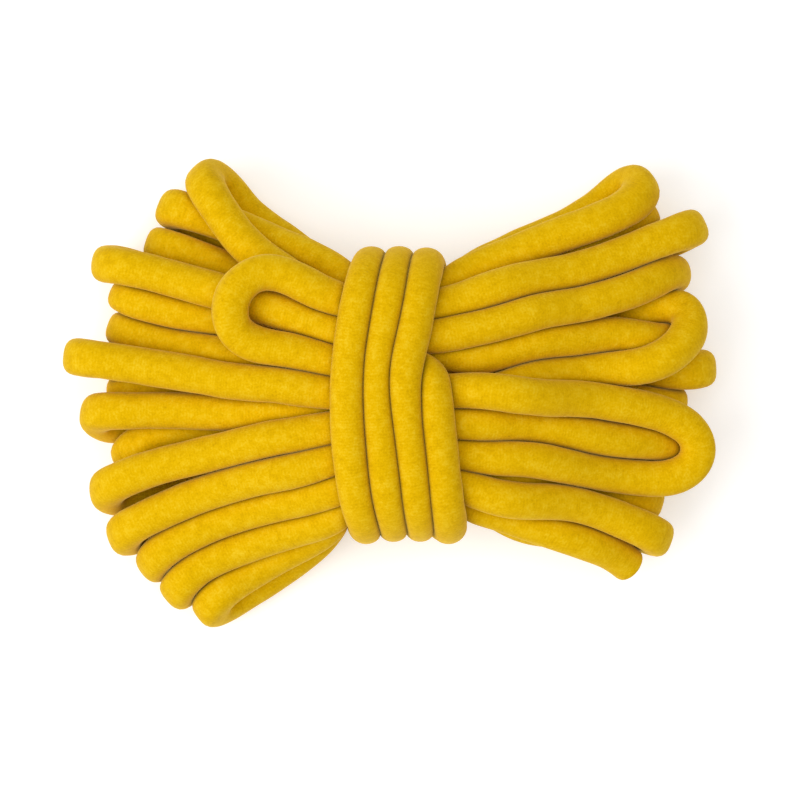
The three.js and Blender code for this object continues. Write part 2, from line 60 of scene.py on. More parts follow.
# Waist slots: the passages under the band lie in staggered rows, in millimetres.
ROW_Z = {"a": 19.6, "b": 16.1, "c": 12.7, "d": 9.2, "e": 5.8}
ROW_Y = {"a": 11.6, "b": 13.6, "c": 11.6, "d": 9.6, "e": 7.6}
COLUMN_PITCH = 4.0
WAIST_HALF = 5.0

# The cord's route in millimetres, as in the CAD source: the stretch (a CAD node), the waist slot
# it leaves, the slot it ends in, and its guide points.
ROUTE: list[tuple[str, str | None, str | None, list[tuple[float, float, float]]]] = [
    ("start_tail", None, "b8", [
        (32.6, -22.3, 6.8), (29.6, -20.9, 8.8), (26.3, -19.6, 10.4), (21, -17.9, 12.1),
        (15.7, -16.2, 13.8), (10.6, -15, 15.6),
    ]),
    ("left_fold_14", "b8", "d6", [
        (-6.8, -15.9, 15.4), (-14.9, -18.5, 13), (-19.5, -20.2, 11.6), (-23, -21.8, 10.6),
        (-26.5, -24.2, 9.6), (-29.2, -26.8, 8), (-29.2, -27, 5), (-26.5, -25.2, 2.8),
        (-20, -20.5, 2.5), (-13, -15.5, 3), (-8, -12, 6),
    ]),
    ("right_fold_15", "d6", "c6", [
        (9, -10.2, 8.9), (13, -10.8, 7), (18, -12, 3.2), (23, -14.6, 2.4), (25.6, -16, 4.2),
        (23.4, -14.8, 6.2), (18, -12.2, 7.4), (13, -9.8, 10.4), (9, -8.7, 12.2),
    ]),
    ("left_fold_13", "c6", "a7", [
        (-9, -9.2, 9), (-16, -12.5, 3.5), (-24, -17.6, 2.6), (-30.5, -21.8, 3.5), (-33, -23.2, 6),
        (-32.6, -22.6, 9), (-29.9, -20.6, 10.8), (-26.4, -19, 11.8), (-21.3, -16.7, 13.4),
        (-14.9, -14.6, 16), (-7.9, -12.8, 18.8),
    ]),
    ("right_fold_14", "a7", "c7", [
        (9.8, -12.6, 18.7), (16, -13.9, 17), (21.1, -14.7, 15.3), (26.3, -15.9, 13.6),
        (31, -17.2, 12.2), (34.4, -18.8, 11), (36.6, -20, 8.4), (34.6, -19.6, 6), (30, -18.8, 6.6),
        (24, -17.2, 8.4), (16, -14.8, 9.9), (9.5, -12.6, 11.2),
    ]),
    ("left_fold_15", "c7", "d7", [
        (-7.5, -17.6, 11.6), (-13.2, -20.6, 10), (-19, -23.6, 9.2), (-23.2, -26.3, 9),
        (-25.2, -28, 8.6), (-25.6, -29.2, 6.2), (-23.3, -29, 3.6), (-18.3, -26.2, 3.2),
        (-13.2, -22.8, 4), (-8.5, -18.6, 6),
    ]),
    ("right_fold_10", "d7", "c5", [
        (9, -13.8, 8.2), (12.5, -12, 4.4), (17, -8.8, 2.5), (26, -5.4, 2.5), (33, -4.8, 2.7),
        (35.6, -4.8, 5.2), (33, -4, 7.6), (26, -3, 7.5), (16, -3.2, 8), (9, -4, 10.5),
    ]),
    ("left_fold_11", "c5", "a5", [
        (-9, -6.5, 9.5), (-16, -10, 5), (-24, -13.2, 3.4), (-32, -15.2, 3.6), (-37.6, -14.4, 5.4),
        (-39.2, -13.4, 8.6), (-38, -12.5, 11.6), (-35.3, -11.2, 13), (-30.2, -9.6, 14.6),
        (-25, -8.4, 16), (-18.8, -7.2, 18), (-13.7, -6.3, 19.3), (-8.6, -5.6, 19.6),
    ]),
    ("right_fold_12", "a5", "b6", [
        (7.8, -3.6, 19.4), (14.2, -3.9, 18.6), (21.1, -5, 16.6), (28, -6.1, 14.4),
        (33.1, -6.8, 12.2), (37.1, -7.6, 9.6), (39.2, -8.2, 6.2), (36.5, -8.8, 3.4), (28, -9.4, 3),
        (19, -8.4, 5.6), (11, -7, 11.5),
    ]),
    ("left_fold_10", "b6", "d5", [
        (-9, -6, 15), (-16, -4.6, 12), (-25.7, -4.5, 9.6), (-31.8, -5.6, 9), (-35.4, -7.8, 8),
        (-36.7, -8.6, 5.2), (-34.5, -8.4, 2.7), (-26, -7.4, 2.5), (-16, -6.2, 2.8), (-9.5, -6, 6.2),
    ]),
    ("right_fold_13", "d5", "b7", [
        (9.5, -7.6, 8), (16, -9, 6), (23, -10.2, 3), (31, -13.4, 2.6), (35.7, -15.4, 5),
        (33, -14.2, 7.8), (25, -11.6, 8.4), (16, -10, 11), (9.5, -10, 14.5),
    ]),
    ("left_fold_12", "b7", "a6", [
        (-9, -11, 13.5), (-15, -14, 8), (-22, -17, 3.5), (-31, -20, 3), (-35.4, -20, 4.8),
        (-36.5, -19.2, 8), (-35.4, -18.2, 10.8), (-33.4, -17.1, 12), (-26.4, -14.3, 13.8),
        (-21.3, -12.7, 15.6), (-14.9, -11.2, 17.8), (-8.3, -10, 19.3),
    ]),
    ("right_fold_11", "a6", "a4", [
        (8.7, -8.3, 19.2), (14.2, -9, 17.6), (21.1, -10, 15), (28, -11.1, 12.6),
        (33.7, -11.3, 11.2), (38, -10.9, 10.4), (41.3, -9.6, 10.4), (42.2, -7.7, 11),
        (40.4, -5, 12), (37.1, -3.1, 12.8), (33.1, -1.9, 13.8), (28, -0.9, 15), (21.1, 0, 17),
        (14.2, 0.7, 18.8), (7.5, 0.6, 19.6),
    ]),
    ("left_fold_07", "a4", "c4", [
        (-8.6, 0, 19.6), (-18.3, 1.2, 18.2), (-26.7, 2.4, 16.4), (-35.4, 3.8, 14.6),
        (-40.5, 4.6, 13.6), (-43.2, 4.8, 10.2), (-40, 4.6, 7), (-33, 3.6, 6), (-24, 2.6, 8),
        (-15, 1.2, 11), (-9, 0.2, 12.2),
    ]),
    ("right_fold_08", "c4", "e4", [
        (9, 0.4, 11.4), (16, 1.4, 9.4), (24, 1.6, 8.8), (31.7, 1.4, 8.8), (36, 2, 8.9),
        (41, 3.1, 8), (42.8, 3.4, 5.4), (40.2, 3.2, 2.8), (32, 2.4, 2.5), (22, 0.4, 2.5),
        (14, -2.4, 3.4), (9, -4, 5.4),
    ]),
    ("left_fold_08", "e4", "d3", [
        (-9, -4, 6.4), (-14, -3, 4.2), (-22, -1.6, 2.5), (-30, -0.6, 2.5), (-36, 0.4, 2.7),
        (-37.8, 0.7, 5.4), (-35.5, 0.6, 8), (-30, 0, 8), (-22, 0.2, 7), (-14, 1, 7), (-9, 1.4, 8.4),
    ]),
    ("right_fold_06", "d3", "b5", [
        (9, 3.4, 7.8), (16, 6.4, 6.6), (24, 9, 6.4), (31, 11, 6.6), (36, 11.8, 7.4),
        (39.6, 11.9, 9), (41.5, 10.2, 10.8), (40.4, 8, 11.8), (37.5, 6.5, 12.6), (33.1, 4.9, 13),
        (28, 3.7, 13.4), (22.9, 3.2, 13.6), (17.5, 2.6, 14), (10, 0, 15.2),
    ]),
    ("left_fold_09", "b5", "d4", [
        (-8.8, -2.8, 16.3), (-13.6, -3.1, 15.8), (-20.3, -2.9, 14.8), (-26.7, -2.5, 13.8),
        (-31.8, -2.4, 13), (-38.3, -2.6, 11.8), (-41.2, -2.7, 8.6), (-38.2, -3, 5.2),
        (-31, -3.4, 3.4), (-20, -2.6, 3), (-13, -2.6, 5), (-9, -2.6, 7.6),
    ]),
    ("right_fold_09", "d4", "b4", [
        (9, -2, 6.6), (16, -2, 3), (26, -1.6, 2.5), (34, -1, 2.6), (39, -0.8, 5), (36.5, -0.8, 7.6),
        (30, -1.2, 8), (22, -1.4, 9.4), (14, 0.6, 11.6), (9, 1.4, 14),
    ]),
    ("left_fold_06", "b4", "e2", [
        (-8.6, 1.8, 15.4), (-14, 3.6, 13.4), (-20.3, 5.1, 12), (-25.7, 6.3, 11.2),
        (-32.5, 7.4, 10.2), (-36, 8.1, 9), (-37.3, 8.4, 6), (-35, 8.3, 3), (-28, 7.6, 2.5),
        (-20, 6.2, 2.5), (-13, 4.6, 3.2), (-8.5, 3.8, 5),
    ]),
    ("right_fold_05", "e2", "c3", [
        (9, 4.4, 4.9), (15, 6, 2.9), (24, 8.6, 2.5), (32, 11.2, 2.6), (36.3, 12.2, 5),
        (33, 11.4, 8), (26, 9.6, 9), (16, 6.6, 9.8), (9, 4.4, 11.6),
    ]),
    ("left_fold_05", "c3", "b3", [
        (-8, 5.2, 10), (-14, 7.2, 6.4), (-22, 9.2, 4.2), (-31, 11, 3.6), (-35.2, 12, 4.2),
        (-36.7, 12.2, 7), (-35, 12, 9.8), (-31.1, 11, 11.2), (-23.7, 9.2, 13), (-16, 7, 14.6),
        (-8.2, 5.2, 16),
    ]),
    ("right_fold_07", "b3", "d2", [
        (6.7, 5, 16.2), (12.1, 4.8, 15.8), (17.5, 5.4, 14.8), (22.9, 6.4, 13.4), (28, 7.8, 12),
        (33.1, 9, 10.6), (36.8, 9.4, 9), (38.4, 9, 6), (36, 8.4, 3.2), (28, 6.6, 2.6),
        (18, 4.4, 3.6), (10, 5, 7),
    ]),
    ("left_fold_04", "d2", "a2", [
        (-9, 7, 6.6), (-15, 9.6, 4), (-23, 12.6, 3), (-31, 15.2, 3.2), (-37, 16.8, 5),
        (-39.4, 17.4, 8.4), (-37.5, 17.2, 12), (-31.1, 15.6, 13.2), (-23.3, 13.3, 15),
        (-19, 11.9, 16), (-13.6, 10.2, 17.8), (-7.9, 8.4, 19.4),
    ]),
    ("right_fold_04", "a2", "d1", [
        (5.3, 7, 19.6), (12.6, 8.2, 18.4), (19.5, 10.1, 16.8), (28, 12.4, 15), (33.7, 14.3, 13.4),
        (37.8, 15.8, 11.8), (39.6, 16.4, 8.6), (37.2, 15.8, 5.2), (30, 14.2, 3.8), (21, 12.6, 4),
        (12, 11, 6.4),
    ]),
    ("left_fold_02", "d1", "b1", [
        (-9, 11, 6.6), (-15, 14.6, 3.8), (-22, 18.8, 2.8), (-27.5, 22.4, 2.8), (-30.3, 24.8, 4.8),
        (-29, 25.2, 7.6), (-26, 24.2, 8.2), (-22, 22.6, 8.2), (-18.3, 21.1, 9.6),
        (-13.2, 18.9, 12.4), (-7.2, 15.6, 15.4),
    ]),
    ("right_fold_01", "b1", "c1", [
        (6.1, 14.2, 15.8), (10.9, 15.8, 15), (16, 17.8, 14), (21.1, 20, 13), (26.4, 22, 12),
        (31, 24.2, 11), (34.2, 26, 9.4), (35, 27.2, 7), (32.4, 26.6, 5), (26.4, 24, 4.4),
        (22.1, 21.8, 5), (17.6, 20, 6.4), (12.5, 17.4, 8.8), (8.7, 15, 11),
    ]),
    ("left_fold_01", "c1", "b2", [
        (-5.8, 15.2, 10.6), (-10.5, 17.6, 8.4), (-14, 20, 6.4), (-17.6, 22.4, 4.6),
        (-21, 25.6, 3.8), (-23.8, 29.2, 5), (-25.8, 29.2, 7.8), (-25.6, 27.6, 10.4),
        (-22.5, 23.2, 12.4), (-19, 19.2, 14), (-13, 15.2, 15.6), (-7.5, 12.2, 16.2),
    ]),
    ("right_fold_02", "b2", "e1", [
        (9, 10.6, 14.4), (15, 13, 11.4), (22, 17, 8.8), (29, 21, 8), (33.5, 23.6, 7.6),
        (35.2, 24.2, 5), (32.5, 22.6, 2.7), (25, 18, 2.5), (16, 12.6, 2.5), (10, 9.6, 3.6),
    ]),
    ("left_fold_03", "e1", "c2", [
        (-9, 10, 4), (-15, 13.4, 2.6), (-23, 16.8, 2.5), (-29.5, 19, 2.8), (-32.4, 19.9, 5.2),
        (-30.4, 19.7, 8), (-24.4, 17.4, 9.4), (-18, 14.6, 10), (-12, 11.4, 11),
    ]),
    ("right_fold_03", "c2", "a1", [
        (10, 10, 9.8), (17, 13, 7.2), (25, 16.6, 5), (33, 19.4, 4.4), (39, 21.6, 5.2),
        (41, 22.4, 8.4), (39.2, 21.8, 11.6), (36, 20.6, 12.4), (31, 18.5, 13.8), (24.6, 16.3, 15.4),
        (19.5, 14.5, 16.8), (12.6, 12.2, 18.6), (6, 10.8, 19.6),
    ]),
    ("short_loop", "a1", "a3", [
        (-7.1, 12.2, 20), (-10.9, 13.9, 20.2), (-13.7, 15.4, 20), (-16.9, 16.2, 20),
        (-20, 15, 20.4), (-21.7, 11.9, 21), (-21.5, 8.8, 20.2), (-19.6, 7, 19.6),
        (-17.1, 6.3, 19.6), (-13.7, 5.5, 19.8), (-8.4, 4.3, 19.8),
    ]),
    ("band_turn_1", "a3", None, [
        (4.4, 3.6, 22.2), (5.4, 0, 23.8), (5.7, -3.5, 23.9), (6.4, -8, 23.3), (7.1, -12.6, 21.8),
        (7.9, -16.6, 18.2), (8.4, -18.2, 13.5), (8, -16.5, 8.5), (7.4, -11, 4.4), (6.8, -4, 2.2),
    ]),
    ("band_turn_2", None, None, [
        (6.2, 4, 2.2), (5.6, 11, 4.6), (5.1, 15.8, 9), (4.7, 17.8, 14), (4.4, 17, 18.4),
        (3.7, 13.4, 21.6), (2.9, 9, 23), (2, 4.4, 23.6), (1.7, 0, 23.8), (1.8, -4, 23.8),
        (2.3, -8, 23.2), (3.1, -12.5, 21.4), (4, -16.4, 18), (4.3, -18.2, 13.5), (4, -16.5, 8.5),
        (3.6, -11, 4.4), (3, -4, 2.2),
    ]),
    ("band_turn_3", None, None, [
        (2.4, 4, 2.2), (1.8, 11, 4.6), (1.5, 15.8, 9), (1.2, 17.8, 14), (0.8, 17, 18.4),
        (-0.1, 13.4, 21.6), (-1.2, 9, 23), (-1.8, 4.4, 23.6), (-2, 0, 23.8), (-1.9, -4, 23.8),
        (-1.4, -8, 23.2), (-0.5, -12.5, 21.4), (0.6, -16.4, 18), (0.6, -18.2, 13.5),
        (0.3, -16.5, 8.5), (-0.1, -11, 4.4), (-0.7, -4, 2.2),
    ]),
    ("band_turn_4", None, None, [
        (-1.3, 4, 2.2), (-1.9, 11, 4.6), (-2.3, 15.8, 9), (-2.6, 17.8, 14), (-3, 17, 18.4),
        (-4.2, 13.4, 21.6), (-5.2, 9, 23), (-5.8, 4.4, 23.6), (-6, 0, 23.8), (-6, -4, 23.8),
        (-5.8, -8, 23.2), (-5, -12.5, 21.4), (-3.9, -16.4, 18), (-3.4, -18.2, 13.5),
        (-4.4, -16.5, 8.5),
    ]),
    ("end_tail", None, None, [
        (-6.6, -12.2, 4.6), (-9.4, -8.4, 2.6), (-11.4, -4.6, 2.4), (-10.8, -1.4, 3.8),
        (-7.4, -0.4, 5.4), (-5, -0.4, 5.8), (0, -0.4, 5.8), (7.5, -0.4, 5.8),
    ]),
]


class WaistState(Enum):
    """How tightly a stretch of the cord is held."""

    LOOSE = "loose"
    SQUEEZED = "squeezed"
    BOUND = "bound"


def smoothstep(value: np.ndarray, low: float, high: float) -> np.ndarray:
    """Eases from 0 to 1.

    Args:
        value: The numbers to ease.
        low: Where 0 ends.
        high: Where 1 begins.

    Returns:
        A number from 0 to 1 for each value.
    """
    t = np.clip((value - low) / (high - low), 0.0, 1.0)
    return t * t * (3.0 - 2.0 * t)


def slot_point(slot: str, x: float) -> tuple[float, float, float]:
    """The centre of a waist slot such as "b3", at x, in millimetres."""
    row, column = slot[0], int(slot[1:]) - 1
    return (x, ROW_Y[row] - COLUMN_PITCH * column, ROW_Z[row])


@dataclass
class CordRoute:
    """The cord's centreline, in millimetres, settled from the guide points.

    Attributes:
        step: Distance between the samples that are settled.
        reach: Half the distance that neighbouring centrelines keep, by how the cord is held.
            It is a little under the cord's radius, because soft runs press into each other.
        grip_ends: Distance from the waist's middle at which a run is free of its grip.
        floor_height: Lowest height of the centreline above the floor.
        bend_radius: Radius of the tightest bend that the easing aims for.
        rounds: How many times the whole cord is eased.
        holds: How strongly the guide pulls, each up to the given share of the rounds.
        hold_axes: How that pull is shared between x, y and height.
        smoothing: How strongly a sample is drawn between its two neighbours.
        smooth_until: Share of the rounds that are smoothed in this way.
        boost: Factor on the mean of the moves that a sample is asked to make.
        skip: Samples along the cord that don't count as another run.
        pair_margin: Extra distance at which two runs are already watched.
        pairs_kept: Rounds that one list of near pairs serves.
        band_from: The sample at which the band starts, known once the samples are made.
    """

    step: float = 2.0
    reach: dict[WaistState, float] = field(
        default_factory=lambda: {
            WaistState.LOOSE: 2.36,
            WaistState.SQUEEZED: 1.95,
            WaistState.BOUND: 1.88,
        }
    )
    grip_ends: float = 14.5
    floor_height: float = 2.15
    bend_radius: float = 2.9
    rounds: int = 1000
    holds: tuple[tuple[float, float], ...] = ((0.45, 0.07), (0.6, 0.008), (1.0, 0.001))
    hold_axes: tuple[float, float, float] = (1.0, 1.0, 0.4)
    smoothing: float = 0.07
    smooth_until: float = 0.55
    boost: float = 1.5
    skip: int = 5
    pair_margin: float = 1.5
    pairs_kept: int = 8
    band_from: int = field(init=False, default=0)

    def guide_line(self) -> tuple[np.ndarray, int]:
        """The guide points in the cord's order.

        Returns:
            The points, and the index of the first one of the band.
        """
        points: list[tuple[float, float, float]] = []
        band_index = 0
        for name, slot_from, slot_to, guide in ROUTE:
            side = math.copysign(1.0, guide[0][0])
            if slot_from:
                points.append(slot_point(slot_from, 0.0))
            if name == "band_turn_1":
                band_index = len(points) - 1
            elif slot_from:
                points.append(slot_point(slot_from, side * WAIST_HALF))
            points.extend(guide)
            if slot_to:
                points.append(slot_point(slot_to, side * WAIST_HALF))
        return np.array(points), band_index

    def samples(self) -> np.ndarray:
        """Evenly spaced points along the guide line; also notes where the band starts.

        Returns:
            The samples, one row for each.
        """
        line, band_index = self.guide_line()
        along = np.concatenate([[0.0], np.cumsum(np.linalg.norm(np.diff(line, axis=0), axis=1))])
        count = round(along[-1] / self.step)
        self.band_from = round(along[band_index] / along[-1] * count)
        at = np.linspace(0.0, along[-1], count + 1)
        return np.stack([np.interp(at, along, line[:, k]) for k in range(3)], axis=1)

    def reaches(self, samples: np.ndarray) -> np.ndarray:
        """Half the spacing that each sample keeps from other runs.

        Args:
            samples: The evenly spaced guide samples.

        Returns:
            One distance for each sample.
        """
        loose = self.reach[WaistState.LOOSE]
        squeezed = self.reach[WaistState.SQUEEZED]
        bound = self.reach[WaistState.BOUND]
        freed = smoothstep(np.abs(samples[:, 0]), WAIST_HALF + 1.0, self.grip_ends)
        reach = squeezed + (loose - squeezed) * freed
        since = np.arange(len(samples)) - self.band_from
        tight = squeezed + (bound - squeezed) * smoothstep(since, 0.0, 4.0)
        return np.where(since >= 0, tight, reach)

    def near_pairs(
        self, points: np.ndarray, reach: np.ndarray
    ) -> tuple[np.ndarray, np.ndarray, np.ndarray]:
        """Pairs of samples on different runs that may touch soon.

        Args:
            points: The cord's samples.
            reach: Half the spacing each sample keeps.

        Returns:
            The first and second index of each pair, and the distance the pair keeps.
        """
        squared = (points**2).sum(axis=1)
        gap = squared[:, None] + squared[None, :] - 2.0 * points @ points.T
        limit = (reach[:, None] + reach[None, :] + self.pair_margin) ** 2
        first, second = np.nonzero(np.triu(gap < limit, self.skip))
        return first, second, reach[first] + reach[second]

    def settle(self) -> np.ndarray:
        """Eases the cord until runs keep apart, bends stay soft and nothing is under the floor.

        Returns:
            The settled centreline, centred over the origin.
        """
        guide = self.samples()
        reach = self.reaches(guide)
        points = guide.copy()
        for turn in range(self.rounds):
            if turn % self.pairs_kept == 0:
                pairs = self.near_pairs(points, reach)
            self.ease(points, guide, pairs, turn / self.rounds)
        points = self.evened(points)
        low, high = points.min(axis=0), points.max(axis=0)
        points[:, :2] -= 0.5 * (low + high)[:2]
        return points

    def ease(
        self,
        points: np.ndarray,
        guide: np.ndarray,
        pairs: tuple[np.ndarray, np.ndarray, np.ndarray],
        done: float,
    ) -> None:
        """Moves every sample a little, in place.

        Args:
            points: The cord's samples, which are moved.
            guide: Where the samples started.
            pairs: The near pairs and the distances that they keep.
            done: Share of the rounds that are over.
        """
        order = np.arange(len(points))
        chord = 2.0 * self.bend_radius * math.sin(self.step / self.bend_radius)
        near = self.pushes(points, *pairs, only_closer=True)
        links = self.pushes(points, order[1:], order[:-1], self.step, only_closer=False)
        bends = self.pushes(points, order[2:], order[:-2], chord, only_closer=True)
        moves = near[0] + links[0] + bends[0]
        counts = near[1] + links[1] + bends[1]
        middle = 0.5 * (points[:-2] + points[2:]) - points[1:-1]
        hold = next(pull for until, pull in self.holds if done < until)
        points += moves * (self.boost / np.maximum(counts, self.boost))[:, None]
        points += hold * (guide - points) * np.array(self.hold_axes)
        if done < self.smooth_until:
            points[1:-1] += self.smoothing * middle
        points[:, 2] = np.maximum(points[:, 2], self.floor_height)

    @staticmethod
    def evened(points: np.ndarray, passes: int = 8) -> np.ndarray:
        """Takes out small kinks without tightening the bends.

        Args:
            points: The settled samples.
            passes: How often the line is drawn in and let out again.

        Returns:
            The evened samples.
        """
        points = points.copy()
        for _ in range(passes):
            for share in (0.5, -0.52):
                points[1:-1] += share * (0.5 * (points[:-2] + points[2:]) - points[1:-1])
        return points

    @staticmethod
    def pushes(
        points: np.ndarray,
        first: np.ndarray,
        second: np.ndarray,
        kept: np.ndarray | float,
        only_closer: bool,
    ) -> tuple[np.ndarray, np.ndarray]:
        """Half of the move that each pair of samples needs, given to both of them.

        Args:
            points: The cord's samples.
            first: First index of each pair.
            second: Second index of each pair.
            kept: The distance the pair keeps.
            only_closer: Whether pairs that are further apart are left alone.

        Returns:
            The summed moves and the number of moves of each sample.
        """
        between = points[first] - points[second]
        distance = np.maximum(np.linalg.norm(between, axis=1), 1e-6)
        share = 0.5 * (kept - distance) / distance
        active = np.ones(len(first), bool)
        if only_closer:
            active = distance < kept
        push = between * (share * active)[:, None]
        size = len(points)
        moves = np.stack(
            [
                np.bincount(first, push[:, k], size) - np.bincount(second, push[:, k], size)
                for k in range(3)
            ],
            axis=1,
        )
        counts = np.bincount(first, active, size) + np.bincount(second, active, size)
        return moves, counts


def spline_through(points: np.ndarray, parts: int) -> np.ndarray:
    """A smooth line through the points, cut into the given number of parts between each two.

    Args:
        points: The points to pass through.
        parts: Pieces between one point and the next.

    Returns:
        The points of the finer line.
    """
    ends = np.vstack([2 * points[0] - points[1], points, 2 * points[-1] - points[-2]])
    before, start, end, after = ends[:-3], ends[1:-2], ends[2:-1], ends[3:]
    fine = []
    for k in range(parts):
        t = k / parts
        fine.append(
            0.5
            * (
                2 * start
                + (end - before) * t
                + (2 * before - 5 * start + 4 * end - after) * t**2
                + (3 * start - before - 3 * end + after) * t**3
            )
        )
    line = np.stack(fine, axis=1).reshape(-1, 3)
    return np.vstack([line, points[-1]])


def transported_frames(line: np.ndarray) -> tuple[np.ndarray, np.ndarray, np.ndarray]:
    """Tangents and two steady side directions along a line.

    Args:
        line: Points of the line.

    Returns:
        Tangent, normal and binormal at each point, without twist.
    """
    tangent = np.gradient(line, axis=0)
    tangent /= np.linalg.norm(tangent, axis=1)[:, None]
    normal = np.empty_like(line)
    helper = np.array([0.0, 0.0, 1.0])
    normal[0] = np.cross(np.cross(tangent[0], helper), tangent[0])
    normal[0] /= np.linalg.norm(normal[0])
    for i in range(1, len(line)):
        side = normal[i - 1] - tangent[i] * (normal[i - 1] @ tangent[i])
        normal[i] = side / np.linalg.norm(side)
    return tangent, normal, np.cross(tangent, normal)


def reach_to_plane(distance: np.ndarray, facing: np.ndarray) -> np.ndarray:
    """How far a spoke may reach before it passes a plane.

    Args:
        distance: Distance from the spoke's foot to the plane.
        facing: Cosine of the angle between the spoke and the way to the plane.

    Returns:
        The reach, or FAR for spokes that run along the plane or away from it.
    """
    return np.where(facing > FACING_LEAST, distance / np.maximum(facing, FACING_LEAST), FAR)


def blurred(values: np.ndarray, width: int, axis: int, wrap: bool) -> np.ndarray:
    """Values averaged over a soft window along one axis.

    Args:
        values: The array to soften.
        width: How many places the window reaches to each side.
        axis: The axis it runs along.
        wrap: Whether that axis closes on itself.

    Returns:
        The softened array.
    """
    weights = np.hanning(2 * width + 3)[1:-1]
    weights /= weights.sum()
    moved = np.moveaxis(values, axis, 0)
    pad = [(width, width)] + [(0, 0)] * (moved.ndim - 1)
    padded = np.pad(moved, pad, mode="wrap" if wrap else "edge")
    total = sum(w * padded[k : k + len(moved)] for k, w in enumerate(weights))
    return np.moveaxis(total, 0, axis)


def linear(hex_colour: str) -> tuple[float, float, float, float]:
    """Turns an sRGB hex colour to linear.

    Args:
        hex_colour: A colour such as "#e0b010".

    Returns:
        Linear red, green, blue and alpha.
    """
    parts = [int(hex_colour[k : k + 2], 16) / 255.0 for k in (1, 3, 5)]
    rgb = [p / 12.92 if p <= 0.04045 else ((p + 0.055) / 1.055) ** 2.4 for p in parts]
    return (rgb[0], rgb[1], rgb[2], 1.0)


def add_node(
    tree: bpy.types.NodeTree,
    kind: str,
    inputs: dict[str | int, object] | None = None,
    **settings: object,
) -> bpy.types.Node:
    """Adds a node with its settings, values and links.

    Args:
        tree: The node tree.
        kind: The node's type name.
        inputs: By socket name or number, a value or the output socket to link from.
        **settings: Attributes of the node itself.

    Returns:
        The new node.
    """
    node = tree.nodes.new(kind)
    for name, value in settings.items():
        setattr(node, name, value)
    for key, value in (inputs or {}).items():
        if isinstance(value, bpy.types.NodeSocket):
            tree.links.new(value, node.inputs[key])
        else:
            node.inputs[key].default_value = value
    return node


